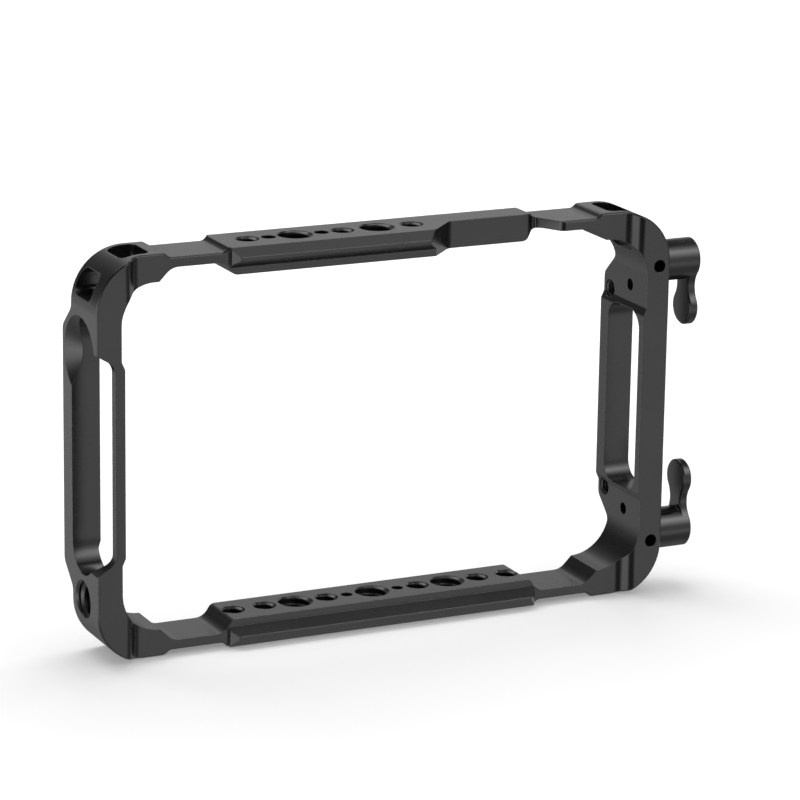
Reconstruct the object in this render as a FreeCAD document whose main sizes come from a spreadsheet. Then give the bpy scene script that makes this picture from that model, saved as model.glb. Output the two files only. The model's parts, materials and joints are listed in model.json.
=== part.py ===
import FreeCAD, Part
import math
import os

import Sketcher

# Monitor cage: one machined aluminium frame for a five inch field monitor, with two
# indexing clamp levers on its right wall.
#
# Frame of the model, in millimetres: +X is the cage's right as its front is faced, +Y runs to
# its back and +Z up. The origin is the mouth, under the bottom rail, of the middle mounting
# hole, so the cage stands on Z = 0 and every hole row lies on Y = 0.

DRIVING_SIZES = {
    # the opening and the walls round it, seen from the front
    "opening_width": 151.6,
    "opening_height": 92.6,
    "wall_thickness": 6.9,
    "rail_thickness": 7.35,
    "outer_corner_radius": 14.0,
    "upper_inner_radius": 10.0,
    "lower_inner_radius": 11.5,
    "strip_inset": 0.9,
    "side_pad_length": 19.3,
    "side_pad_slope": 2.0,
    # the thin bands that join rails and corner blocks
    "band_thickness": 2.65,
    "band_recess": 1.2,
    "rail_length": 87.8,
    "rail_end_slope": 2.2,
    "rail_end_fillet": 4.0,
    "rail_end_round": 2.0,
    "rail_foot_run": 1.3,
    "rail_foot_slope": 1.2,
    "rail_foot_fillet": 2.2,
    "corner_block_length": 21.7,
    "corner_step_inset": 19.75,
    "corner_step_run": 1.5,
    "corner_step_fillet": 1.8,
    "block_pad_slope": 3.4,
    "block_pad_fillet": 4.5,
    "edge_round": 0.5,
    "edge_chamfer": 0.4,
    "overcut": 1.6,
    # depths, all from the plane of the hole rows
    "side_front": 10.4,
    "rail_front": 8.5,
    "band_front": 7.5,
    "band_back": 7.3,
    "side_back": 13.45,
    "front_step_inset": 11.6,
    "front_step_run": 2.8,
    "front_step_radius": 2.8,
    "lower_back_step": 16.9,
    "upper_back_step": 15.6,
    "back_step_rise": 5.8,
    "back_step_radius": 3.0,
    # the cut-back right part of the top rail
    "cutback_start": 12.7,
    "cutback_depth": 0.5,
    "cutback_radius": 2.5,
    "cutback_end_round": 2.0,
    "cutback_valley": 1.5,
    "cutback_valley_round": 0.9,
    "cutback_exit": 7.3,
    "cutback_exit_round": 2.0,
    # the clamp flanges along both edges of the rails
    "flange_overrun": 1.0,
    "flange_bevel": 2.3,
    "flange_tip": 0.9,
    "lip_height": 1.85,
    "neck_relief": 0.2,
    # the openings in the side walls
    "left_front_strip": 2.4,
    "left_back_strip": 6.05,
    "left_slot_low": 22.35,
    "left_slot_top_inset": 17.0,
    "corner_cut_width": 5.1,
    "corner_cut_end": 24.4,
    "corner_cut_rise": 3.1,
    "corner_cut_radius": 3.5,
    "dish_ring": 3.0,
    "dish_depth": 3.3,
    "dish_slope_run": 4.95,
    "dish_offset": 1.9,
    "dish_drop": 2.5,
    "right_front_strip": 2.2,
    "right_back_strip": 4.25,
    "right_slot_end": 28.2,
    "right_slot_radius": 5.0,
    # the strap windows in the upper corners
    "window_half_width": 5.9,
    "window_side_bar": 8.7,
    "window_length": 7.9,
    "window_top_bar": 4.7,
    "window_height": 6.9,
    "window_radius": 2.2,
    # mounting holes
    "quarter_thread": 6.35,
    "three_eighths_thread": 9.525,
    "pin_offset": 7.5,
    "bottom_pin_diameter": 3.2,
    "top_pin_diameter": 4.0,
    "pin_depth": 5.0,
    "first_quarter": 13.5,
    "bottom_pitch": 9.0,
    "top_pitch": 10.0,
    "anti_twist_offset": 23.5,
    "wall_hole_height": 15.4,
    "wall_hole_mouth": 0.6,
    "pad_thread": 5.0,
    "pad_thread_back": 10.0,
    "pad_thread_inset": 25.4,
    "pad_pin_diameter": 3.3,
    "pad_pin_front": 1.0,
    "pad_pin_inset": 21.95,
    "pad_pin_depth": 4.5,
    # post sockets and clamps
    "socket_diameter": 3.5,
    "socket_wall": 3.2,
    "socket_depth": 12.5,
    "upper_socket_inset": 15.2,
    "lower_socket_inset": 14.9,
    "upper_clamp_inset": 15.85,
    "lower_clamp_inset": 15.4,
    "clamp_front": 1.7,
    "stud_thread": 4.0,
    "stud_clearance": 0.05,
    "stud_hole_past_socket": 0.5,
    "tip_setback": 0.15,
    "lever_gap": 0.3,
    "barrel_diameter": 11.3,
    "barrel_length": 11.1,
    "arm_thickness": 2.5,
    "upper_arm_length": 13.5,
    "lower_arm_length": 14.0,
    "lobe_radius": 4.95,
    "neck_radius": 6.0,
    "lever_chamfer": 0.35,
    "spline_count": 12,
    "spline_root": 6.9,
    "spline_height": 0.55,
    "spline_width": 0.62,
    "spline_length": 2.7,
    "spline_clearance": 0.06,
    "head_gap": 0.2,
    "web_thickness": 1.0,
    "web_clearance": 0.06,
    "spring_bore": 6.6,
    "screw_thread": 3.0,
    "screw_clearance": 0.02,
    "screw_engagement": 2.2,
    "screw_head_diameter": 5.6,
    "screw_head_thickness": 1.5,
    "screw_head_inset": 0.3,
    "hex_across_flats": 2.0,
    "hex_depth": 0.9,
    "spring_wire": 0.4,
    "spring_diameter": 4.9,
    "spring_turns": 4.5,
}

doc = FreeCAD.newDocument("monitor_cage")
sheet = doc.addObject("Spreadsheet::Sheet", "Sizes")
for row, (alias, value) in enumerate(DRIVING_SIZES.items(), start=1):
    sheet.set(f"A{row}", alias)
    sheet.set(f"B{row}", str(value))
    sheet.setAlias(f"B{row}", alias)
doc.recompute()


class Size:
    """A length that knows its value and the sheet formula that gives it."""

    def __init__(self, value, formula):
        self.value = value
        self.formula = formula

    def joined(self, other, sign, value):
        text = other.formula if isinstance(other, Size) else repr(other)
        return Size(value, f"({self.formula} {sign} {text})")

    def __add__(self, other):
        return self.joined(other, "+", self.value + number(other))

    def __sub__(self, other):
        return self.joined(other, "-", self.value - number(other))

    def __mul__(self, other):
        return self.joined(other, "*", self.value * number(other))

    def __truediv__(self, other):
        return self.joined(other, "/", self.value / number(other))

    def __neg__(self):
        return Size(-self.value, f"(0 - {self.formula})")


def number(size):
    return size.value if isinstance(size, Size) else size


def size(alias):
    return Size(float(sheet.get(alias)), f"Sizes.{alias}")


def new_body(label):
    body = doc.addObject("PartDesign::Body", label)
    body.Label = label
    return body


def plane(body, role):
    return next(f for f in body.Origin.OriginFeatures if f.Role == role)


def new_sketch(body, name, role, offset=None):
    """A sketch on one of the body's origin planes, moved along its normal by offset."""
    sketch = body.newObject("Sketcher::SketchObject", name)
    sketch.AttachmentSupport = [(plane(body, role), "")]
    sketch.MapMode = "FlatFace"
    if offset is not None:
        sketch.setExpression("AttachmentOffset.Base.z", offset.formula)
        shift = FreeCAD.Vector(0, 0, offset.value)
        sketch.AttachmentOffset = FreeCAD.Placement(shift, FreeCAD.Rotation())
    return sketch


def apply_rules(sketch, rules):
    """Add constraints, each given as (constraint, the size that drives it or None)."""
    indices = sketch.addConstraint([rule for rule, _ in rules])
    for index, (_, length) in zip(indices, rules):
        if length is not None:
            sketch.setExpression(f"Constraints[{index}]", length.formula)


def joint_rule(kind, *places):
    return Sketcher.Constraint(kind, *places), None


def radius_rule(curve, radius):
    return Sketcher.Constraint("Radius", curve, radius.value), radius


def place_rules(geometry, vertex, x, y):
    """Fix a sketch point at x, y measured from the sketch's origin."""
    rules = []
    for kind, along, axis in (("DistanceX", x, -2), ("DistanceY", y, -1)):
        if isinstance(along, Size):
            fixed = Sketcher.Constraint(kind, -1, 1, geometry, vertex, along.value)
            rules.append((fixed, along))
        else:
            rules.append(joint_rule("PointOnObject", geometry, vertex, axis))
    return rules


def tangent_points(before, corner, after, radius):
    """Where a round of this radius leaves the two edges of a corner, and its centre."""
    a = (before - corner).normalize()
    b = (after - corner).normalize()
    half = math.acos(max(-1.0, min(1.0, a.dot(b)))) / 2
    reach = radius / math.tan(half)
    centre = corner + (a + b).normalize() * (radius / math.sin(half))
    return corner + a * reach, corner + b * reach, centre


def draw_outline(sketch, corners):
    """Close a loop of straight edges through corners (x, y, radius or None).

    Each corner is held at its own place by two dimensions, and a radius rounds it off with an
    arc that is tangent to both edges.
    """
    places = [FreeCAD.Vector(number(c[0]), number(c[1]), 0) for c in corners]
    count = len(corners)
    starts, ends, centres = [], [], []
    for i, corner in enumerate(corners):
        if corner[2] is None:
            starts.append(places[i])
            ends.append(places[i])
            centres.append(None)
        else:
            arrive, leave, centre = tangent_points(
                places[i - 1], places[i], places[(i + 1) % count], number(corner[2])
            )
            starts.append(arrive)
            ends.append(leave)
            centres.append(centre)
    edges = []
    for i in range(count):
        line = Part.LineSegment(ends[i], starts[(i + 1) % count])
        edges.append(sketch.addGeometry(line, False))
    rules = []
    for i, (x, y, radius) in enumerate(corners):
        arriving, leaving = edges[i - 1], edges[i]
        if radius is None:
            rules.append(joint_rule("Coincident", arriving, 2, leaving, 1))
            rules += place_rules(leaving, 1, x, y)
            continue
        mark = sketch.addGeometry(Part.Point(places[i]), True)
        rules += place_rules(mark, 1, x, y)
        rules.append(joint_rule("PointOnObject", mark, 1, arriving))
        rules.append(joint_rule("PointOnObject", mark, 1, leaving))
        arc, first, last = round_arc(centres[i], radius.value, starts[i], ends[i])
        bend = sketch.addGeometry(arc, False)
        rules.append(joint_rule("Tangent", arriving, 2, bend, first))
        rules.append(joint_rule("Tangent", leaving, 1, bend, last))
        rules.append(radius_rule(bend, radius))
    apply_rules(sketch, rules)


def round_arc(centre, radius, start, end):
    """The short arc from start to end, with the vertex numbers of its two ends."""
    first = math.atan2(start.y - centre.y, start.x - centre.x)
    last = math.atan2(end.y - centre.y, end.x - centre.x)
    turn = (last - first) % (2 * math.pi)
    circle = Part.Circle(centre, FreeCAD.Vector(0, 0, 1), radius)
    if turn <= math.pi:
        return Part.ArcOfCircle(circle, first, first + turn), 1, 2
    return Part.ArcOfCircle(circle, last, last + 2 * math.pi - turn), 2, 1


def draw_circle(sketch, x, y, diameter):
    centre = FreeCAD.Vector(number(x), number(y), 0)
    circle = Part.Circle(centre, FreeCAD.Vector(0, 0, 1), diameter.value / 2)
    ring = sketch.addGeometry(circle, False)
    width = (Sketcher.Constraint("Diameter", ring, diameter.value), diameter)
    apply_rules(sketch, place_rules(ring, 3, x, y) + [width])


def draw_upright_slot(sketch, front, back, low, high):
    """A slot between two y values, its full-round ends reaching low and high."""
    radius = (back - front) / 2
    centre = (back + front) / 2
    up = FreeCAD.Vector(0, radius.value, 0)
    low_centre = FreeCAD.Vector(centre.value, (low + radius).value, 0)
    high_centre = FreeCAD.Vector(centre.value, (high - radius).value, 0)
    normal = FreeCAD.Vector(0, 0, 1)
    half_turn = math.pi
    top = Part.ArcOfCircle(Part.Circle(high_centre, normal, radius.value), 0, half_turn)
    foot = Part.ArcOfCircle(Part.Circle(low_centre, normal, radius.value), half_turn, half_turn * 2)
    side = FreeCAD.Vector(radius.value, 0, 0)
    geometry = [
        top,
        Part.LineSegment(high_centre - side, low_centre - side),
        foot,
        Part.LineSegment(low_centre + side, high_centre + side),
    ]
    first, front_line, second, back_line = sketch.addGeometry(geometry, False)
    rules = [
        joint_rule("Tangent", first, 2, front_line, 1),
        joint_rule("Tangent", front_line, 2, second, 1),
        joint_rule("Tangent", second, 2, back_line, 1),
        joint_rule("Tangent", back_line, 2, first, 1),
        radius_rule(first, radius),
    ]
    rules += place_rules(first, 3, centre, high - radius)
    rules += [(Sketcher.Constraint("DistanceY", -1, 1, second, 3, low_centre.y), low + radius)]
    apply_rules(sketch, rules)


def pad(body, name, sketch, length):
    feature = body.newObject("PartDesign::Pad", name)
    feature.Profile = sketch
    feature.setExpression("Length", length.formula)
    doc.recompute()
    return feature


def cut(body, name, sketch, depth, reverse=False):
    """Pocket against the sketch's normal, or along it, and make sure that it removes metal."""
    before = body.Shape.Volume
    feature = body.newObject("PartDesign::Pocket", name)
    feature.Profile = sketch
    feature.Reversed = reverse
    feature.setExpression("Length", depth.formula)
    doc.recompute()
    if body.Shape.Volume > before - 0.01:
        raise ValueError(f"{name} removes nothing")
    return feature


def revolve_cut(body, name, sketch, axis_edge):
    """Turn a profile about one of its own edges and cut the shape away."""
    before = body.Shape.Volume
    feature = body.newObject("PartDesign::Groove", name)
    feature.Profile = sketch
    feature.ReferenceAxis = (sketch, [axis_edge])
    feature.Angle = 360.0
    doc.recompute()
    if body.Shape.Volume > before - 0.01:
        raise ValueError(f"{name} removes nothing")


def both_sides(body, feature):
    """Repeat a feature of the right half on the left."""
    mirrored = body.newObject("PartDesign::Mirrored", feature.Label + "Mirrored")
    mirrored.Originals = [feature]
    mirrored.MirrorPlane = (plane(body, "YZ_Plane"), [""])
    body.Tip = mirrored
    doc.recompute()


# Values that several pieces share

half_opening = size("opening_width") / 2
wall = size("wall_thickness")
half_width = half_opening + wall
rail = size("rail_thickness")
height = size("opening_height") + rail * 2
rail_half = size("rail_length") / 2
block_start = half_width - size("corner_block_length")
side_front = size("side_front")
band_front = size("band_front")
band_back = size("band_back")
rail_front = size("rail_front")
side_back = size("side_back")
margin = size("overcut")
edge_round = size("edge_round")
rail_side = rail_half + size("flange_overrun")


# The frame

frame = new_body("cage_frame")


def outer_outline():
    """The right half of the frame's outer edge, from the bottom up."""
    foot = rail_half + size("rail_foot_run")
    band_start = foot + size("rail_foot_slope")
    band = size("band_recess")
    step_high = half_width - size("corner_step_inset")
    step_low = step_high - size("corner_step_run")
    corner = size("outer_corner_radius")
    foot_fillet = size("rail_foot_fillet")
    step_fillet = size("corner_step_fillet")
    return [
        (0, 0, None),
        (foot, 0, edge_round),
        (band_start, band, foot_fillet),
        (step_low, band, step_fillet),
        (step_high, 0, step_fillet),
        (half_width, 0, corner),
        (half_width, height, corner),
        (step_high, height, step_fillet),
        (step_low, height - band, step_fillet),
        (band_start, height - band, foot_fillet),
        (foot, height, edge_round),
        (0, height, None),
    ]


def opening_outline():
    """The right half of the opening's edge, from the bottom up."""
    band = size("band_recess") + size("band_thickness")
    slope = rail_half + size("rail_end_slope")
    block = block_start + size("block_pad_slope")
    strip = half_opening - size("strip_inset")
    low = rail + size("side_pad_length")
    low_strip = low + size("side_pad_slope")
    rail_fillet = size("rail_end_fillet")
    rail_round = size("rail_end_round")
    block_fillet = size("block_pad_fillet")
    return [
        (0, rail, None),
        (rail_half, rail, rail_round),
        (slope, band, rail_fillet),
        (block_start, band, block_fillet),
        (block, rail, edge_round),
        (half_opening, rail, size("lower_inner_radius")),
        (half_opening, low, edge_round),
        (strip, low_strip, edge_round),
        (strip, height - low_strip, edge_round),
        (half_opening, height - low, edge_round),
        (half_opening, height - rail, size("upper_inner_radius")),
        (block, height - rail, edge_round),
        (block_start, height - band, block_fillet),
        (slope, height - band, rail_fillet),
        (rail_half, height - rail, rail_round),
        (0, height - rail, None),
    ]


stock_back = side_back + margin
stock_front = side_front + margin
plate = new_sketch(frame, "PlateOutline", "XZ_Plane", -stock_back)
draw_outline(plate, outer_outline())
both_sides(frame, pad(frame, "Plate", plate, stock_back + stock_front))
opening = new_sketch(frame, "OpeningOutline", "XZ_Plane", stock_front)
draw_outline(opening, opening_outline())
both_sides(frame, cut(frame, "Opening", opening, stock_back + stock_front))


def shape_front():
    """Plan of the front: rails and side members stand forward of the bands."""
    beyond = half_width + margin
    step = half_width - size("front_step_inset")
    right = [
        (rail_side - (side_front - rail_front), -side_front, None),
        (rail_side, -rail_front, None),
        (rail_side, -band_front, None),
        (step, -band_front, size("front_step_radius")),
        (step + size("front_step_run"), -side_front, size("front_step_radius")),
        (beyond, -side_front, None),
        (beyond, -(stock_front + margin), None),
    ]
    plan = new_sketch(frame, "FrontPlan", "XY_Plane", height + margin)
    draw_outline(plan, [(-x, y, r) for x, y, r in reversed(right)] + right)
    cut(frame, "FrontShape", plan, height + margin * 2)


def shape_back():
    """Back of the frame: side members deepest over their middle, rails as in front."""
    low = size("lower_back_step")
    high = height - size("upper_back_step")
    rise = size("back_step_rise")
    radius = size("back_step_radius")
    profile = new_sketch(frame, "BackProfile", "YZ_Plane", half_width + margin)
    behind = stock_back + margin
    draw_outline(
        profile,
        [
            (band_back, -margin, None),
            (behind, -margin, None),
            (behind, height + margin, None),
            (band_back, height + margin, None),
            (band_back, high, radius),
            (side_back, high - rise, radius),
            (side_back, low + rise, radius),
            (band_back, low, radius),
        ],
    )
    both_sides(frame, cut(frame, "BackShape", profile, half_width + margin - rail_side))

    right = [
        (rail_side - (side_front - rail_front), side_front, None),
        (rail_side, rail_front, None),
        (rail_side + margin, rail_front, None),
        (rail_side + margin, behind, None),
    ]
    plan = new_sketch(frame, "BackPlan", "XY_Plane", height + margin)
    draw_outline(plan, right + [(-x, y, r) for x, y, r in reversed(right)])
    cut(frame, "RailBacks", plan, height + margin * 2)


def faces_along(shape, edge):
    return [face for face in shape.Faces if any(edge.isSame(other) for other in face.Edges)]


def is_outside(place):
    """Whether a point of the outline lies nearer the outer edge than the opening."""
    clear_of_rails = rail.value / 2 < place.z < height.value - rail.value / 2
    return abs(place.x) > half_opening.value + edge_round.value or not clear_of_rails


def break_front_edges():
    """Chamfer the outer front edge of the corner blocks and side members."""
    base = frame.Tip
    shape = base.Shape
    names = []
    for index, edge in enumerate(shape.Edges, start=1):
        box = edge.BoundBox
        nearest = min(abs(box.XMin), abs(box.XMax))
        if box.YMax > -band_front.value + 1e-3 or nearest < block_start.value - 1e-3:
            continue
        if not is_outside(edge.CenterOfMass):
            continue
        along = [abs(face.normalAt(*face.Surface.parameter(edge.CenterOfMass)).y)
                 for face in faces_along(shape, edge)]
        if min(along) < 1e-3 < max(along):
            names.append(f"Edge{index}")
    feature = frame.newObject("PartDesign::Chamfer", "FrontEdges")
    feature.Base = (base, names)
    feature.setExpression("Size", size("edge_chamfer").formula)
    doc.recompute()


def cut_back_top_rail():
    """The right part of the top rail is set back, for a plug or a cable beside it."""
    depth = size("cutback_depth")
    start = size("cutback_start")
    valley = size("cutback_valley")
    exit_x = rail_half + size("cutback_exit")
    front = stock_front + margin
    plan = new_sketch(frame, "CutbackPlan", "XY_Plane", height + margin)
    draw_outline(
        plan,
        [
            (start - (front - rail_front), -front, None),
            (start + (rail_front - depth), -depth, size("cutback_radius")),
            (rail_side, -depth, size("cutback_end_round")),
            (rail_side + valley, -(depth - valley), size("cutback_valley_round")),
            (exit_x, -band_front, size("cutback_exit_round")),
            (exit_x + margin, -band_front, None),
            (exit_x + margin, -front, None),
        ],
    )
    cut(frame, "TopRailCutback", plan, rail + margin * 2)


shape_front()
shape_back()
break_front_edges()
cut_back_top_rail()


def cut_flange(name, face, mirrored, behind):
    """One edge of a rail: a beveled flange, and a neck behind it under the rail's lip."""
    bevel = size("flange_bevel")
    start = bevel + size("flange_tip")
    neck = rail - size("lip_height")
    root = face - size("neck_relief")
    outside = side_front + margin
    fall = margin * (neck - start) / (side_front - root)
    outer = [
        (side_front - bevel - margin, -margin),
        (outside, bevel + margin),
        (outside, -margin),
    ]
    inner = [
        (outside, start - fall),
        (root, neck),
        (face, neck),
        (face, rail + margin),
        (outside, rail + margin),
    ]
    length = rail_side + margin
    for part, corners in (("Bevel", outer), ("Neck", inner)):
        section = new_sketch(frame, f"{name}{part}Section", "YZ_Plane", length)
        placed = [
            (y if behind else -y, height - z if mirrored else z, None)
            for y, z in corners
        ]
        draw_outline(section, placed)
        cut(frame, name + part, section, length * 2)


cut_flange("BottomFront", band_front, False, False)
cut_flange("TopFront", band_front, True, False)
cut_flange("BottomBack", band_back, False, True)
cut_flange("TopBack", band_back, True, True)


def cut_left_wall():
    """Left wall: a long slot, and the wall's front corner opened beside it."""
    front = side_front - size("left_front_strip")
    back = side_back - size("left_back_strip")
    inner = half_opening - size("strip_inset") - margin
    slot = new_sketch(frame, "LeftSlotOutline", "YZ_Plane", -inner)
    high = height - size("left_slot_top_inset")
    draw_upright_slot(slot, -front, back, size("left_slot_low"), high)
    cut(frame, "LeftSlot", slot, wall + size("strip_inset") + margin * 2)

    low = size("corner_cut_end")
    rise = size("corner_cut_rise")
    width = size("corner_cut_width")
    bend = size("corner_cut_radius")
    outside = half_width + width
    inside = half_width - width
    notch = new_sketch(frame, "CornerCutOutline", "XZ_Plane", stock_front)
    draw_outline(
        notch,
        [
            (-outside, low - rise, None),
            (-inside, low + rise, bend),
            (-inside, height - low - rise, bend),
            (-outside, height - low + rise, None),
        ],
    )
    cut(frame, "CornerCut", notch, stock_front - front + margin * 2)


def cut_dish():
    """A countersunk ring round the slot's upper end lets a plug's collar in."""
    front = side_front - size("left_front_strip")
    back = side_back - size("left_back_strip")
    slot_radius = (front + back) / 2
    centre = (back - front) / 2 + size("dish_offset")
    level = height - size("left_slot_top_inset") - slot_radius - size("dish_drop")
    radius = slot_radius + size("dish_ring")
    run = size("dish_slope_run")
    depth = size("dish_depth")
    half = new_sketch(frame, "DishProfile", "XY_Plane", level)
    draw_outline(
        half,
        [
            (-(half_width + depth), centre, None),
            (-(half_width + depth), centre + radius + run, None),
            (-(half_width - depth), centre + radius - run, None),
            (-(half_width - depth), centre, None),
        ],
    )
    revolve_cut(frame, "Dish", half, "Edge4")


def cut_right_wall():
    """Right wall: a long slot between its front strip and its back strip."""
    front = side_front - size("right_front_strip")
    back = side_back - size("right_back_strip")
    end = size("right_slot_end")
    radius = size("right_slot_radius")
    slot = new_sketch(frame, "RightSlotOutline", "YZ_Plane", half_width + margin)
    draw_outline(
        slot,
        [
            (-front, end, radius),
            (back, end, radius),
            (back, height - end, radius),
            (-front, height - end, radius),
        ],
    )
    cut(frame, "RightSlot", slot, wall + size("strip_inset") + margin * 2)


def cut_strap_windows():
    """Two windows through each upper corner leave a bar between them for a strap."""
    reach = size("window_half_width")
    outer = half_width - size("window_side_bar")
    inner = outer - size("window_length")
    high = height - size("window_top_bar")
    low = high - size("window_height")
    bend = size("window_radius")
    for side, name in ((-1, "Left"), (1, "Right")):
        top = new_sketch(frame, name + "TopWindowOutline", "XY_Plane", height + margin)
        draw_outline(
            top,
            [
                (inner * side, -reach, bend),
                (outer * side, -reach, bend),
                (outer * side, reach, bend),
                (inner * side, reach, bend),
            ],
        )
        cut(frame, name + "TopWindow", top, height - low + margin)
        flank = new_sketch(frame, name + "SideWindowOutline", "YZ_Plane", (half_width + margin) * side)
        draw_outline(
            flank,
            [
                (-reach, low, bend),
                (reach, low, bend),
                (reach, high, bend),
                (-reach, high, bend),
            ],
        )
        depth = half_width - outer + margin * 2
        cut(frame, name + "SideWindow", flank, depth, reverse=side < 0)


cut_left_wall()
cut_dish()
cut_right_wall()
cut_strap_windows()


def cut_rail_holes():
    """The hole rows of the two rails."""
    quarter = size("quarter_thread")
    three_eighths = size("three_eighths_thread")
    first = size("first_quarter")
    pitch = size("bottom_pitch")
    twist = -size("anti_twist_offset")
    pin = size("pin_offset")
    through = rail + margin * 2

    bottom = new_sketch(frame, "BottomHoles", "XY_Plane", rail + margin)
    draw_circle(bottom, 0, 0, three_eighths)
    for side in (-1, 1):
        draw_circle(bottom, first * side, 0, quarter)
        draw_circle(bottom, (first + pitch) * side, 0, three_eighths)
        draw_circle(bottom, (first + pitch * 2) * side, 0, quarter)
        draw_circle(bottom, (first + pitch * 3) * side, 0, quarter)
    cut(frame, "BottomThreads", bottom, through)

    bottom_pins = new_sketch(frame, "BottomPins", "XY_Plane", rail)
    for side in (-1, 1):
        draw_circle(bottom_pins, pin * side, 0, size("bottom_pin_diameter"))
    cut(frame, "BottomPinHoles", bottom_pins, size("pin_depth"))

    top = new_sketch(frame, "TopHoles", "XY_Plane", height + margin)
    draw_circle(top, 0, 0, three_eighths)
    draw_circle(top, size("top_pitch"), 0, quarter)
    draw_circle(top, -size("top_pitch"), 0, quarter)
    draw_circle(top, twist, 0, three_eighths)
    draw_circle(top, twist - first, 0, quarter)
    cut(frame, "TopThreads", top, through)

    top_pins = new_sketch(frame, "TopPins", "XY_Plane", height)
    for side in (-1, 1):
        draw_circle(top_pins, twist + pin * side, 0, size("top_pin_diameter"))
    cut(frame, "TopPinHoles", top_pins, size("pin_depth"))


def cut_wall_holes():
    """The large hole low in the left wall, and the two pads' holes in the right wall."""
    mouth = size("wall_hole_mouth")
    thread = size("three_eighths_thread")
    inner = half_opening - size("lower_inner_radius")
    left = new_sketch(frame, "LeftWallHole", "YZ_Plane", -inner)
    draw_circle(left, 0, size("wall_hole_height"), thread)
    cut(frame, "LeftWallThread", left, half_width - inner + margin)
    cone = new_sketch(frame, "LeftWallMouth", "XY_Plane", size("wall_hole_height"))
    draw_outline(
        cone,
        [
            (-(half_width + mouth), 0, None),
            (-(half_width + mouth), thread / 2 + mouth * 2, None),
            (-(half_width - mouth), thread / 2, None),
            (-(half_width - mouth), 0, None),
        ],
    )
    revolve_cut(frame, "LeftWallCone", cone, "Edge4")

    threads = new_sketch(frame, "PadHoles", "YZ_Plane", half_width + margin)
    pins = new_sketch(frame, "PadPins", "YZ_Plane", half_opening)
    for mirrored in (False, True):
        thread_level = size("pad_thread_inset")
        pin_level = size("pad_pin_inset")
        if mirrored:
            thread_level = height - thread_level
            pin_level = height - pin_level
        draw_circle(threads, size("pad_thread_back"), thread_level, size("pad_thread"))
        draw_circle(pins, -size("pad_pin_front"), pin_level, size("pad_pin_diameter"))
    cut(frame, "PadThreads", threads, wall + margin * 2)
    cut(frame, "PadPinHoles", pins, size("pad_pin_depth"), reverse=True)


def cut_post_sockets():
    """Blind sockets in the right member's front, each met by a clamp stud from the side."""
    sockets = new_sketch(frame, "Sockets", "XZ_Plane", side_front)
    studs = new_sketch(frame, "StudHoles", "YZ_Plane", half_width + margin)
    bore = size("stud_thread") + size("stud_clearance") * 2
    draw_circle(sockets, socket_x, height - size("upper_socket_inset"), size("socket_diameter"))
    draw_circle(sockets, socket_x, size("lower_socket_inset"), size("socket_diameter"))
    draw_circle(studs, -size("clamp_front"), upper_clamp, bore)
    draw_circle(studs, -size("clamp_front"), lower_clamp, bore)
    reach = half_width + margin - socket_x + size("socket_diameter") / 2
    cut(frame, "PostSockets", sockets, size("socket_depth"))
    cut(frame, "StudThreads", studs, reach + size("stud_hole_past_socket"))


socket_x = half_width - size("socket_wall")
upper_clamp = height - size("upper_clamp_inset")
lower_clamp = size("lower_clamp_inset")

cut_rail_holes()
cut_wall_holes()
cut_post_sockets()


RINGS_PER_TURN = 8
WIRE_SIDES = 5

# The clamps: each is a lever, a splined stud, a spring and the screw that holds them together

lever_start = half_width + size("lever_gap")
lever_end = lever_start + size("barrel_length")
stud_head_start = lever_start + size("head_gap")
stud_head_end = stud_head_start + size("spline_length")
web_start = stud_head_end + size("head_gap")
web_end = web_start + size("web_thickness")
screw_head_end = lever_end - size("screw_head_inset")
screw_head_start = screw_head_end - size("screw_head_thickness")
tip = socket_x + size("socket_diameter") / 2 + size("tip_setback")


def place_on_axis(body, level):
    """Each clamp is drawn about the X axis and placed at its own height."""
    body.setExpression("Placement.Base.y", (-size("clamp_front")).formula)
    body.setExpression("Placement.Base.z", level.formula)


def add_arm(body, length):
    """The arm: barrel and lobe joined by two hollow flanks, tangent to both."""
    barrel = size("barrel_diameter") / 2
    lobe = size("lobe_radius")
    flank = size("neck_radius")
    reach = length.value
    outward = math.copysign(1, reach)
    step = (barrel.value + flank.value) ** 2 - (lobe.value + flank.value) ** 2
    along = (step + reach * reach) / (2 * reach)
    across = math.sqrt((barrel.value + flank.value) ** 2 - along * along)
    origin = FreeCAD.Vector(0, 0, 0)
    lobe_centre = FreeCAD.Vector(0, reach, 0)
    flank_centres = {s: FreeCAD.Vector(s * across, along, 0) for s in (1, -1)}

    def touch(centre, other, radius):
        return centre + (other - centre).normalize() * radius

    sketch = new_sketch(body, "ArmOutline", "YZ_Plane", lever_end - size("arm_thickness"))
    far = {s: touch(lobe_centre, flank_centres[s], lobe.value) for s in (1, -1)}
    near = {s: touch(origin, flank_centres[s], barrel.value) for s in (1, -1)}
    lobe_arc = sketch.addGeometry(
        Part.Arc(far[1], lobe_centre + FreeCAD.Vector(0, lobe.value * outward, 0), far[-1]), False
    )
    back_arc = sketch.addGeometry(
        Part.Arc(near[1], FreeCAD.Vector(0, -barrel.value * outward, 0), near[-1]), False
    )
    flanks = {}
    for s in (1, -1):
        inner = flank_centres[s] - FreeCAD.Vector(s * flank.value, 0, 0)
        flanks[s] = sketch.addGeometry(Part.Arc(far[s], inner, near[s]), False)
    rules = []
    for flank_arc in flanks.values():
        for round_end in (lobe_arc, back_arc):
            for a in (1, 2):
                for b in (1, 2):
                    gap = sketch.getPoint(flank_arc, a) - sketch.getPoint(round_end, b)
                    if gap.Length < 1e-6:
                        rules.append(joint_rule("Tangent", flank_arc, a, round_end, b))
        rules.append(radius_rule(flank_arc, flank))
    rules += place_rules(back_arc, 3, 0, 0)
    rules += place_rules(lobe_arc, 3, 0, length)
    rules.append(radius_rule(back_arc, barrel))
    rules.append(radius_rule(lobe_arc, lobe))
    apply_rules(sketch, rules)
    pad(body, "Arm", sketch, size("arm_thickness"))


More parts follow.
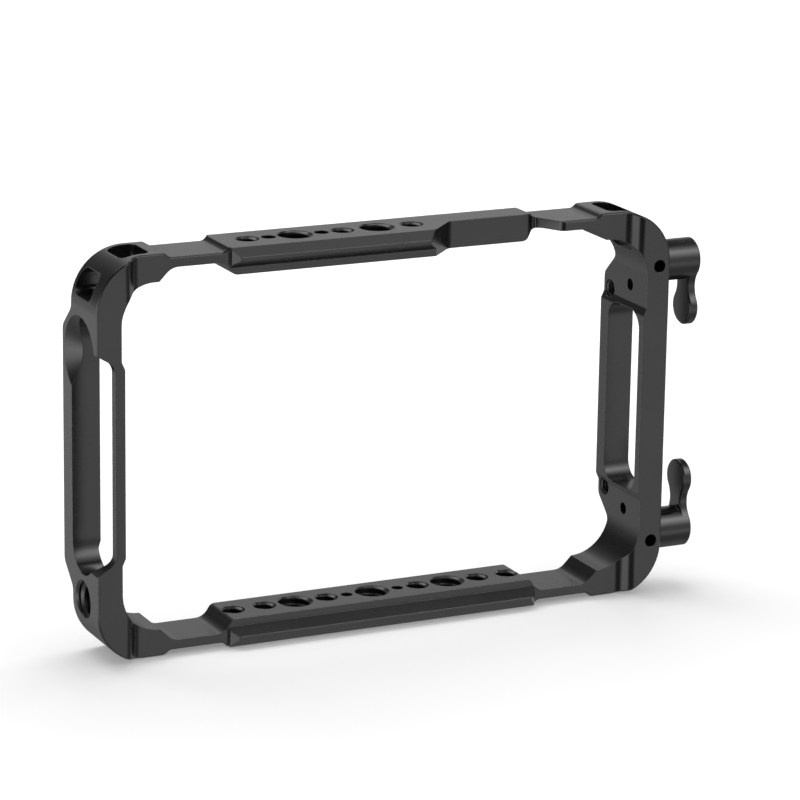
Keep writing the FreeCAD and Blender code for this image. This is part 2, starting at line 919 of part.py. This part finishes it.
def polar_feature(body, name, feature, count):
    """Repeat one spline round the axis."""
    pattern = body.newObject("PartDesign::PolarPattern", name)
    pattern.Originals = [feature]
    pattern.Axis = (plane(body, "X_Axis"), [""])
    pattern.Angle = 360.0
    pattern.setExpression("Occurrences", count.formula)
    body.Tip = pattern
    doc.recompute()
    return pattern


def spline_outline(body, name, offset, grow, inner):
    """One trapezoidal spline on the Y side of the axis, larger by grow all round."""
    root = size("spline_root") / 2
    crest = root + size("spline_height") + grow
    foot_width = size("spline_width") / 2 + grow
    crest_width = size("spline_width") / 4 + grow
    sketch = new_sketch(body, name, "YZ_Plane", offset)
    draw_outline(
        sketch,
        [
            (root - inner, -foot_width, None),
            (crest, -crest_width, None),
            (crest, crest_width, None),
            (root - inner, foot_width, None),
        ],
    )
    return sketch


def break_lever_rims(body):
    """Chamfer the rims of the arm and the barrel's outer end."""
    base = body.Tip
    arm_face = (lever_end - size("arm_thickness")).value
    names = []
    for index, edge in enumerate(base.Shape.Edges, start=1):
        box = edge.BoundBox
        flat = box.XMax - box.XMin < 1e-4
        beyond_barrel = max(abs(box.ZMin), abs(box.ZMax)) > size("barrel_diameter").value / 2 + 0.1
        if flat and abs(box.XMax - lever_end.value) < 1e-4:
            names.append(f"Edge{index}")
        elif flat and abs(box.XMax - arm_face) < 1e-4 and beyond_barrel:
            names.append(f"Edge{index}")
    feature = body.newObject("PartDesign::Chamfer", "Rims")
    feature.Base = (base, names)
    feature.setExpression("Size", size("lever_chamfer").formula)
    doc.recompute()


def make_lever(label, level, length):
    body = new_body(label)
    barrel = new_sketch(body, "BarrelOutline", "YZ_Plane", lever_start)
    draw_circle(barrel, 0, 0, size("barrel_diameter"))
    pad(body, "Barrel", barrel, size("barrel_length"))
    add_arm(body, length)
    break_lever_rims(body)

    clearance = size("spline_clearance")
    socket = new_sketch(body, "SplineSocket", "YZ_Plane", web_start)
    draw_circle(socket, 0, 0, size("spline_root") + clearance * 2)
    cut(body, "Socket", socket, web_start - lever_start + margin)
    flute = spline_outline(body, "FluteOutline", web_start, clearance, size("spline_height"))
    first = cut(body, "Flute", flute, web_start - lever_start + margin)
    polar_feature(body, "Flutes", first, size("spline_count"))

    spring_room = new_sketch(body, "SpringRoom", "YZ_Plane", lever_end + margin)
    draw_circle(spring_room, 0, 0, size("spring_bore"))
    cut(body, "SpringBore", spring_room, lever_end + margin - web_end)
    passage = new_sketch(body, "ScrewPassage", "YZ_Plane", lever_end)
    draw_circle(passage, 0, 0, size("screw_thread") + size("web_clearance") * 2)
    cut(body, "Passage", passage, lever_end - web_start + margin)
    place_on_axis(body, level)
    return body


def make_stud(label, level):
    """The threaded stud with its splined head, bored for the retaining screw."""
    body = new_body(label)
    shank = new_sketch(body, "ShankOutline", "YZ_Plane", tip)
    draw_circle(shank, 0, 0, size("stud_thread"))
    pad(body, "Shank", shank, stud_head_start - tip)
    head = new_sketch(body, "HeadOutline", "YZ_Plane", stud_head_start)
    draw_circle(head, 0, 0, size("spline_root"))
    pad(body, "Head", head, size("spline_length"))
    tooth = spline_outline(body, "SplineOutline", stud_head_start, Size(0.0, "0"), size("spline_height"))
    first = pad(body, "Spline", tooth, size("spline_length"))
    polar_feature(body, "Splines", first, size("spline_count"))
    tapped = new_sketch(body, "TappedHole", "YZ_Plane", stud_head_end)
    draw_circle(tapped, 0, 0, size("screw_thread") + size("screw_clearance") * 2)
    cut(body, "Tapping", tapped, size("screw_engagement") + size("head_gap"))
    place_on_axis(body, level)
    return body


def make_retaining_screw(label, level):
    body = new_body(label)
    shank = new_sketch(body, "ShankOutline", "YZ_Plane", stud_head_end - size("screw_engagement"))
    draw_circle(shank, 0, 0, size("screw_thread"))
    pad(body, "Shank", shank, screw_head_start - stud_head_end + size("screw_engagement"))
    head = new_sketch(body, "HeadOutline", "YZ_Plane", screw_head_start)
    draw_circle(head, 0, 0, size("screw_head_diameter"))
    pad(body, "Head", head, size("screw_head_thickness"))
    flats = size("hex_across_flats") / 2
    corner = size("hex_across_flats") / math.sqrt(3)
    key = new_sketch(body, "HexOutline", "YZ_Plane", screw_head_end)
    draw_outline(
        key,
        [
            (corner, 0, None),
            (corner / 2, flats, None),
            (-corner / 2, flats, None),
            (-corner, 0, None),
            (-corner / 2, -flats, None),
            (corner / 2, -flats, None),
        ],
    )
    cut(body, "HexSocket", key, size("hex_depth"))
    place_on_axis(body, level)
    return body


def make_spring(label, level):
    """A compression spring between the lever's web and the screw's head.

    Five-sided rings of wire, stood round a helix and joined by ruled faces.
    """
    wire = size("spring_wire").value / 2
    coil = size("spring_diameter").value / 2 - wire
    start = web_end.value + wire
    rise = screw_head_start.value - wire - start
    turns = size("spring_turns").value
    stations = round(turns * RINGS_PER_TURN)
    along = FreeCAD.Vector(1, 0, 0)
    rings = []
    for station in range(stations + 1):
        share = station / stations
        angle = 2 * math.pi * turns * share
        outward = FreeCAD.Vector(0, math.cos(angle), math.sin(angle))
        centre = along * (start + rise * share) + outward * coil
        corners = []
        for k in range(WIRE_SIDES + 1):
            turn = 2 * math.pi * k / WIRE_SIDES
            corners.append(centre + outward * (wire * math.cos(turn)) + along * (wire * math.sin(turn)))
        rings.append(Part.makePolygon(corners))
    spring = doc.addObject("Part::Feature", label)
    spring.Shape = Part.makeLoft(rings, True, True)
    spring.Label = label
    spring.Placement.Base = FreeCAD.Vector(0, -size("clamp_front").value, level.value)
    return spring


parts = [frame]
for name, level, length in (
    ("upper", upper_clamp, -size("upper_arm_length")),
    ("lower", lower_clamp, size("lower_arm_length")),
):
    parts.append(make_lever(f"{name}_clamp_lever", level, length))
    parts.append(make_stud(f"{name}_splined_stud", level))
    parts.append(make_retaining_screw(f"{name}_retaining_screw", level))
    parts.append(make_spring(f"{name}_lever_spring", level))

doc.recompute()
for item in doc.Objects:
    if "Invalid" in item.State or "Error" in item.State:
        raise ValueError(f"{item.Name} failed: {item.State}")
for item in parts:
    shape = item.Shape
    if shape.isNull() or not shape.isValid() or len(shape.Solids) != 1:
        raise ValueError(f"{item.Label} is not one valid solid")

os.makedirs("parts", exist_ok=True)
for item in parts:
    item.Shape.exportStep(f"parts/{item.Label}.step")
    print(item.Label, round(item.Shape.Volume, 1))
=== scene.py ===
import json
import math

import bpy
from mathutils import Matrix, Vector


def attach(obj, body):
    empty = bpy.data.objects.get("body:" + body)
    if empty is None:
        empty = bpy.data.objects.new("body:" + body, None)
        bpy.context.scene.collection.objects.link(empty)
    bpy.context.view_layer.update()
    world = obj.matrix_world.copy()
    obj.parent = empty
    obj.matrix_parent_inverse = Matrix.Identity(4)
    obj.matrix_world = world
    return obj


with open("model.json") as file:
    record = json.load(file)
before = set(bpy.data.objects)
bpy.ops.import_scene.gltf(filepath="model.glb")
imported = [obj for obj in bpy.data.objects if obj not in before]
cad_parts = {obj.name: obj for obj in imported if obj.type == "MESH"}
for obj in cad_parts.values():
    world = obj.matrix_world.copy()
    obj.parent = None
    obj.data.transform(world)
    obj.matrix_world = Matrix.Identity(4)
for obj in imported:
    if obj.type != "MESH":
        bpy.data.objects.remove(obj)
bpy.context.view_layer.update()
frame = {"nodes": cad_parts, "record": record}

MM = 0.001


# Materials

CLOUD_SCALE = 60.0  # noise scales are per metre
SCUFF_SCALE = 900.0
FLAT_COSINE, TURNED_COSINE = 0.995, 0.86  # from no edge to a full edge
WEAR_POLISH = 0.08  # how much smoother a worn edge is
GRAIN_HEIGHT = 0.15  # of the grain's size


def new_material(name):
    material = bpy.data.materials.new(name)
    material.use_nodes = True
    tree = material.node_tree
    tree.nodes.clear()
    output = tree.nodes.new("ShaderNodeOutputMaterial")
    shader = tree.nodes.new("ShaderNodeBsdfPrincipled")
    tree.links.new(shader.outputs["BSDF"], output.inputs["Surface"])
    return material, tree, shader


def noise(tree, coords, scale, detail=3.0, roughness=0.6):
    node = tree.nodes.new("ShaderNodeTexNoise")
    node.inputs["Scale"].default_value = scale
    node.inputs["Detail"].default_value = detail
    node.inputs["Roughness"].default_value = roughness
    tree.links.new(coords, node.inputs["Vector"])
    return node.outputs["Fac"]


def ramp(tree, factor, low, high, first, second):
    """Remap a factor between low and high to the range first to second."""
    node = tree.nodes.new("ShaderNodeMapRange")
    node.inputs["From Min"].default_value = low
    node.inputs["From Max"].default_value = high
    node.inputs["To Min"].default_value = first
    node.inputs["To Max"].default_value = second
    tree.links.new(factor, node.inputs["Value"])
    return node.outputs["Result"]


def mix_colour(tree, factor, first, second):
    node = tree.nodes.new("ShaderNodeMix")
    node.data_type = "RGBA"
    tree.links.new(factor, node.inputs["Factor"])
    for socket, value in ((node.inputs[6], first), (node.inputs[7], second)):
        if isinstance(value, tuple):
            socket.default_value = (*value, 1.0)
        else:
            tree.links.new(value, socket)
    return node.outputs[2]


def math_node(tree, operation, first, second):
    node = tree.nodes.new("ShaderNodeMath")
    node.operation = operation
    for socket, value in ((node.inputs[0], first), (node.inputs[1], second)):
        if isinstance(value, (int, float)):
            socket.default_value = value
        else:
            tree.links.new(value, socket)
    return node.outputs[0]


def edge_mask(tree, radius):
    """One where a surface turns a corner within the radius, with the normal rounded over it."""
    bevel = tree.nodes.new("ShaderNodeBevel")
    bevel.samples = 6
    bevel.inputs["Radius"].default_value = radius
    geometry = tree.nodes.new("ShaderNodeNewGeometry")
    dot = tree.nodes.new("ShaderNodeVectorMath")
    dot.operation = "DOT_PRODUCT"
    tree.links.new(bevel.outputs["Normal"], dot.inputs[0])
    tree.links.new(geometry.outputs["Normal"], dot.inputs[1])
    mask = ramp(tree, dot.outputs["Value"], FLAT_COSINE, TURNED_COSINE, 0.0, 1.0)
    return mask, bevel.outputs["Normal"]


def grained(
    name, dark, pale, worn_and_highlit, rough, grain_size, bump, edge=0.22 * MM, metallic=0.0
):
    """A surface with a cloudy tone, fine grain and paler, smoother edges, where the paler edge
    colour is partly worn metal and partly a painted highlight.
    """
    material, tree, shader = new_material(name)
    place = tree.nodes.new("ShaderNodeTexCoord").outputs["Object"]
    cloud = noise(tree, place, CLOUD_SCALE, 4.0)
    grain = noise(tree, place, 1.0 / grain_size, 2.0, 0.7)
    mask, soft_normal = edge_mask(tree, edge)
    scuff = noise(tree, place, SCUFF_SCALE, 3.0)
    # Painted highlight: the edge mask, broken up by scuff noise, marks where edges turn paler,
    # partly as worn metal and partly as a painted highlight
    wear_and_highlight = math_node(tree, "MULTIPLY", mask, ramp(tree, scuff, 0.3, 0.62, 0.35, 1.0))
    body = mix_colour(tree, ramp(tree, cloud, 0.3, 0.7, 0.0, 1.0), dark, pale)
    tinted = mix_colour(tree, ramp(tree, grain, 0.35, 0.7, 0.0, 0.5), body, pale)
    # Edges take the paler colour: partly real wear, partly a painted highlight on the edges
    tree.links.new(mix_colour(tree, wear_and_highlight, tinted, worn_and_highlit), shader.inputs["Base Color"])
    shader.inputs["Metallic"].default_value = metallic
    uneven = math_node(tree, "ADD", ramp(tree, cloud, 0.3, 0.7, -0.03, 0.03), rough)
    speckled = math_node(tree, "ADD", uneven, ramp(tree, grain, 0.3, 0.7, -0.04, 0.04))
    polish = math_node(tree, "MULTIPLY", wear_and_highlight, WEAR_POLISH)
    smoother = math_node(tree, "SUBTRACT", speckled, polish)
    tree.links.new(smoother, shader.inputs["Roughness"])
    relief = tree.nodes.new("ShaderNodeBump")
    relief.inputs["Strength"].default_value = bump
    relief.inputs["Distance"].default_value = grain_size * GRAIN_HEIGHT
    tree.links.new(grain, relief.inputs["Height"])
    tree.links.new(soft_normal, relief.inputs["Normal"])
    tree.links.new(relief.outputs["Normal"], shader.inputs["Normal"])
    return material


# The third colour of each finish is the paler edge colour: partly worn metal, partly a painted
# highlight on the edges
FRAME_BLACK = grained(
    "black_anodised_frame", (0.004, 0.004, 0.0045), (0.008, 0.008, 0.0085), (0.10, 0.10, 0.105),
    rough=0.24, grain_size=0.22 * MM, bump=0.07, edge=0.3 * MM,
)
LEVER_BLACK = grained(
    "black_anodised_lever", (0.004, 0.004, 0.0045), (0.007, 0.007, 0.0075), (0.09, 0.09, 0.095),
    rough=0.22, grain_size=0.18 * MM, bump=0.06, edge=0.3 * MM,
)
STEEL_BLACK = grained(
    "blackened_steel", (0.03, 0.03, 0.032), (0.055, 0.055, 0.058), (0.22, 0.22, 0.23),
    rough=0.34, grain_size=0.15 * MM, bump=0.2, metallic=0.9,
)
SPRING_STEEL = grained(
    "spring_steel", (0.42, 0.42, 0.43), (0.55, 0.55, 0.56), (0.7, 0.7, 0.7),
    rough=0.28, grain_size=0.1 * MM, bump=0.1, edge=0.05 * MM, metallic=1.0,
)
FINISHES = {
    "black_anodised_frame": FRAME_BLACK,
    "black_anodised_lever": LEVER_BLACK,
    "blackened_steel": STEEL_BLACK,
    "spring_steel": SPRING_STEEL,
}

slots = {entry["node"]: entry["material_slot"] for entry in frame["record"]["subparts"]}
for node, part in frame["nodes"].items():
    for holder in part.material_slots:
        holder.material = FINISHES[slots[node]]


# Screw threads in the frame's holes: a ridge that winds along each wall

STEPS_PER_TURN = 40
RIDGE = ((-0.46, 0.0), (-0.09, 1.0), (0.09, 1.0), (0.46, 0.0))  # place in pitches, rise
RIDGE_HEIGHT = 0.58  # of the pitch
FADE = 0.5  # pitches over which the ridge rises at both ends
LEAST_RISE = 0.02
BURIED = 0.02 * MM  # how far the ridge's foot lies in the wall


def thread(name, centre, axis, size, length):
    """A thread inside the frame's hole of this size, from centre along axis."""
    radius, pitch = size
    axis = Vector(axis).normalized()
    side = Vector((0, 0, 1)) if abs(axis.z) < 0.5 else Vector((1, 0, 0))
    u = (side - axis * side.dot(axis)).normalized()
    v = axis.cross(u)
    depth = pitch * RIDGE_HEIGHT
    steps = int(length / pitch * STEPS_PER_TURN)
    points, faces = [], []
    for i in range(steps + 1):
        along = length * i / steps
        turn = 2 * math.pi * i / STEPS_PER_TURN
        fade = min(1.0, along / (pitch * FADE), (length - along) / (pitch * FADE))
        out = u * math.cos(turn) + v * math.sin(turn)
        for offset, rise in RIDGE:
            reach = radius + BURIED - (depth + BURIED) * rise * max(fade, LEAST_RISE)
            level = min(max(along + offset * pitch, 0.0), length)
            points.append(centre + axis * level + out * reach)
        if i:
            a, b = (i - 1) * len(RIDGE), i * len(RIDGE)
            for k in range(len(RIDGE) - 1):
                faces.append((a + k, a + k + 1, b + k + 1, b + k))
    mesh = bpy.data.meshes.new(name)
    mesh.from_pydata([tuple(p) for p in points], [], faces)
    mesh.update()
    piece = bpy.data.objects.new(name, mesh)
    bpy.context.collection.objects.link(piece)
    mesh.materials.append(FRAME_BLACK)
    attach(piece, "cage")


# Radius over the thread and pitch
QUARTER_INCH = (3.175 * MM, 1.27 * MM)
THREE_EIGHTHS = (4.7625 * MM, 1.5875 * MM)
PAD_SCREW = (2.5 * MM, 0.8 * MM)

MARGIN = 0.1 * MM  # between a rail's faces and the ends of its threads
RAIL = 7.35 * MM
FRAME_HEIGHT = 107.3 * MM
BOTTOM_ROW = (
    [(0, THREE_EIGHTHS)]
    + [(x * side, QUARTER_INCH) for x in (13.5, 31.5, 40.5) for side in (1, -1)]
    + [(22.5 * side, THREE_EIGHTHS) for side in (1, -1)]
)
TOP_ROW = [
    (0, THREE_EIGHTHS),
    (10, QUARTER_INCH),
    (-10, QUARTER_INCH),
    (-23.5, THREE_EIGHTHS),
    (-37, QUARTER_INCH),
]
LEFT_WALL_HOLE, LEFT_WALL_DEPTH = Vector((-82.0, 0, 15.4)) * MM, 6.1 * MM
PAD_AT, PAD_DEPTH = (75.9, 10.0), 6.7 * MM
PAD_LEVELS = (("upper", 81.9), ("lower", 25.4))

for rail, row, low in (("bottom", BOTTOM_ROW, 0.0), ("top", TOP_ROW, FRAME_HEIGHT - RAIL)):
    for index, (x, size) in enumerate(row):
        base = Vector((x * MM, 0.0, low + MARGIN))
        thread(f"rail_thread_{rail}_{index}", base, (0, 0, 1), size, RAIL - MARGIN * 2)
thread("left_wall_thread", LEFT_WALL_HOLE, (1, 0, 0), THREE_EIGHTHS, LEFT_WALL_DEPTH)
for label, level in PAD_LEVELS:
    base = Vector((*PAD_AT, level)) * MM
    thread(f"{label}_pad_thread", base, (1, 0, 0), PAD_SCREW, PAD_DEPTH)


# Camera

CAMERA_AT = Vector((-0.42008, -0.88146, 0.32478))
TARGET = Vector((0.007475, 0.0, 0.05968))
ROLL = math.radians(0.894)
FOCAL_PIXELS = 3820.71
IMAGE_PIXELS = 800
SENSOR_MM = 36.0

back = (CAMERA_AT - TARGET).normalized()
right = Vector((-back.y, back.x, 0.0)).normalized()
up = back.cross(right)
turned_right = right * math.cos(ROLL) + up * math.sin(ROLL)
turned_up = up * math.cos(ROLL) - right * math.sin(ROLL)
camera_data = bpy.data.cameras.new("photo_camera")
camera_data.sensor_width = SENSOR_MM
camera_data.sensor_fit = "HORIZONTAL"
camera_data.lens = FOCAL_PIXELS / IMAGE_PIXELS * SENSOR_MM
camera_data.clip_start = 0.01
camera = bpy.data.objects.new("photo_camera", camera_data)
camera.matrix_world = Matrix.Translation(CAMERA_AT) @ Matrix(
    (
        (turned_right.x, turned_up.x, back.x),
        (turned_right.y, turned_up.y, back.y),
        (turned_right.z, turned_up.z, back.z),
    )
).to_4x4()
bpy.context.collection.objects.link(camera)
bpy.context.scene.camera = camera


# Light and floor


def area_lamp(name, place, width, height, power):
    """A soft box that faces the object."""
    lamp_data = bpy.data.lights.new(name, "AREA")
    lamp_data.shape = "RECTANGLE"
    lamp_data.size = width
    lamp_data.size_y = height
    lamp_data.energy = power
    lamp = bpy.data.objects.new(name, lamp_data)
    lamp.location = place
    lamp.rotation_euler = (LAMPS_AIM - Vector(place)).to_track_quat("-Z", "Y").to_euler()
    bpy.context.collection.objects.link(lamp)


def round_the_stage(tree, coords, stops):
    """A brightness that changes with the compass direction, given in degrees from +X."""
    turn = tree.nodes.new("ShaderNodeTexGradient")
    turn.gradient_type = "RADIAL"
    tree.links.new(coords, turn.inputs["Vector"])
    node = tree.nodes.new("ShaderNodeValToRGB")
    node.color_ramp.interpolation = "EASE"
    elements = node.color_ramp.elements
    while len(elements) < len(stops):
        elements.new(0.5)
    for element, (angle, level) in zip(elements, stops):
        element.position = angle / 360 + 0.5
        element.color = (level, level, level, 1.0)
    tree.links.new(turn.outputs["Color"], node.inputs["Fac"])
    return node.outputs["Color"]


def who_looks(tree):
    """Whether a camera ray looks, and whether a mirrored or transmitted ray does."""
    rays = tree.nodes.new("ShaderNodeLightPath").outputs
    mirrored = math_node(tree, "MAXIMUM", rays["Is Glossy Ray"], rays["Is Transmission Ray"])
    return rays["Is Camera Ray"], mirrored


def choose(tree, factor, first, second):
    """The first shader where the factor is zero, and the second where it is one."""
    node = tree.nodes.new("ShaderNodeMixShader")
    tree.links.new(factor, node.inputs[0])
    tree.links.new(first, node.inputs[1])
    tree.links.new(second, node.inputs[2])
    return node.outputs[0]


LAMPS_AIM = Vector((0, 0, 0.05))
area_lamp("overhead_softbox", (0.0, 0.55, 1.15), width=1.2, height=0.7, power=8.0)
area_lamp("right_softbox", (1.1, 0.5, 0.6), width=0.5, height=0.7, power=2.5)

# The soft boxes that the glossy metal mirrors. Each row has the height of a direction, from -1
# straight down to 1 straight up, and its brightness by compass angle in degrees from +X.
GLOW_STRENGTH = 6.0
GLOW = [
    (-0.87, [
        (-180, 0.1), (-60, 0.067), (0, 0.083), (40, 0.067), (180, 0.1),
    ]),
    (-0.55, [
        (-180, 0.133), (-140, 0.05), (-85, 0.083), (-65, 0.117), (-40, 0.067), (0, 0.033),
        (64, 0.017), (107, 0.05), (150, 0.083), (180, 0.133),
    ]),
    (-0.26, [
        (-180, 0.567), (-154, 0.467), (-135, 0.033), (-100, 0.008), (-85, 0.067), (-72, 0.283),
        (-58, 0.267), (-40, 0.067), (-15, 0.033), (8, 0.133), (45, 0.117), (68, 0.025),
        (85, 0.05), (107, 0.133), (125, 0.117), (150, 0.3), (180, 0.567),
    ]),
    (0.0, [
        (-180, 0.433), (-154, 0.367), (-130, 0.017), (-90, 0.008), (-78, 0.083), (-65, 0.167),
        (-50, 0.083), (-30, 0.017), (15, 0.017), (64, 0.05), (90, 0.05), (116, 0.033),
        (150, 0.167), (180, 0.433),
    ]),
    (0.26, [
        (-180, 0.1), (-150, 0.083), (-100, 0.008), (-78, 0.083), (-62, 0.2), (-45, 0.083),
        (-15, 0.017), (30, 0.033), (62, 0.125), (78, 0.1), (95, 0.025), (116, 0.017),
        (150, 0.033), (180, 0.1),
    ]),
    (0.5, [
        (-180, 0.017), (-100, 0.017), (-78, 0.25), (-58, 0.6), (-40, 0.233), (-10, 0.017),
        (40, 0.008), (62, 0.058), (76, 0.2), (92, 0.05), (110, 0.017), (180, 0.017),
    ]),
    (0.7, [
        (-180, 0.017), (-105, 0.033), (-80, 0.417), (-52, 1.0), (-30, 0.533), (-5, 0.033),
        (30, 0.003), (90, 0.008), (180, 0.017),
    ]),
    (0.9, [
        (-180, 0.017), (-100, 0.033), (-60, 0.167), (-30, 0.2), (0, 0.05), (33, 0.003),
        (180, 0.017),
    ]),
]

FLOOR_REACH = 4.0
FLOOR_LEVEL = -0.2 * MM
FLOOR_TONE = 0.82
FOOTPRINT_HALF_LENGTH = 75 * MM
# Painted shadow: the floor's camera-ray lift is lower close by the object and grows paler out
# to the open floor
NEAR, FAR = 10 * MM, 130 * MM
PAINTED_SHADOW_LIFT, OPEN_FLOOR_LIFT = 0.22, 0.36

corners = [(-1, -1), (1, -1), (1, 1), (-1, 1)]
floor_mesh = bpy.data.meshes.new("floor")
floor_mesh.from_pydata(
    [(x * FLOOR_REACH, y * FLOOR_REACH, FLOOR_LEVEL) for x, y in corners], [], [(0, 1, 2, 3)]
)
floor = bpy.data.objects.new("floor", floor_mesh)
bpy.context.collection.objects.link(floor)
paper = bpy.data.materials.new("white_sweep")
paper.use_nodes = True
tree = paper.node_tree
tree.nodes.clear()
output = tree.nodes.new("ShaderNodeOutputMaterial")
matte = tree.nodes.new("ShaderNodeBsdfDiffuse")
matte.inputs["Color"].default_value = (FLOOR_TONE, FLOOR_TONE, FLOOR_TONE, 1.0)
lift = tree.nodes.new("ShaderNodeEmission")
lift.inputs["Color"].default_value = (1.0, 1.0, 1.0, 1.0)
to_camera, mirrored = who_looks(tree)
place = tree.nodes.new("ShaderNodeSeparateXYZ")
tree.links.new(tree.nodes.new("ShaderNodeTexCoord").outputs["Object"], place.inputs[0])
sideways = math_node(tree, "ABSOLUTE", place.outputs["X"], 0.0)
past_ends = math_node(tree, "SUBTRACT", sideways, FOOTPRINT_HALF_LENGTH)
aside = math_node(tree, "POWER", math_node(tree, "MAXIMUM", past_ends, 0.0), 2.0)
ahead = math_node(tree, "POWER", math_node(tree, "ABSOLUTE", place.outputs["Y"], 0.0), 2.0)
away = math_node(tree, "SQRT", math_node(tree, "ADD", aside, ahead), 0.0)
# Painted shadow on the floor around the object's footprint: less lift close by, full lift far
# off
lift_with_painted_shadow = ramp(tree, away, NEAR, FAR, PAINTED_SHADOW_LIFT, OPEN_FLOOR_LIFT)
tree.links.new(math_node(tree, "MULTIPLY", to_camera, lift_with_painted_shadow), lift.inputs["Strength"])
total = tree.nodes.new("ShaderNodeAddShader")
tree.links.new(matte.outputs[0], total.inputs[0])
tree.links.new(lift.outputs[0], total.inputs[1])
clear = tree.nodes.new("ShaderNodeBsdfTransparent")
floor_surface = choose(tree, mirrored, total.outputs[0], clear.outputs[0])
tree.links.new(floor_surface, output.inputs["Surface"])
floor_mesh.materials.append(paper)

AMBIENT = 0.55

world = bpy.data.worlds.new("studio")
bpy.context.scene.world = world
world.use_nodes = True
tree = world.node_tree
tree.nodes.clear()
output = tree.nodes.new("ShaderNodeOutputWorld")


def background(strength):
    node = tree.nodes.new("ShaderNodeBackground")
    node.inputs["Color"].default_value = (1.0, 1.0, 1.0, 1.0)
    node.inputs["Strength"].default_value = strength
    return node


white, ambient, around = background(1.0), background(AMBIENT), background(GLOW_STRENGTH)
to_camera, mirrored = who_looks(tree)
heading = tree.nodes.new("ShaderNodeTexCoord").outputs["Generated"]
split = tree.nodes.new("ShaderNodeSeparateXYZ")
tree.links.new(heading, split.inputs[0])
colour = round_the_stage(tree, heading, GLOW[0][1])
for (low, _), (high, stops) in zip(GLOW, GLOW[1:]):
    rising = ramp(tree, split.outputs["Z"], low, high, 0.0, 1.0)
    colour = mix_colour(tree, rising, colour, round_the_stage(tree, heading, stops))
tree.links.new(colour, around.inputs["Color"])
lit_or_mirrored = choose(tree, mirrored, ambient.outputs[0], around.outputs[0])
all_round = choose(tree, to_camera, lit_or_mirrored, white.outputs[0])
tree.links.new(all_round, output.inputs["Surface"])

bpy.context.scene.view_settings.view_transform = "Standard"
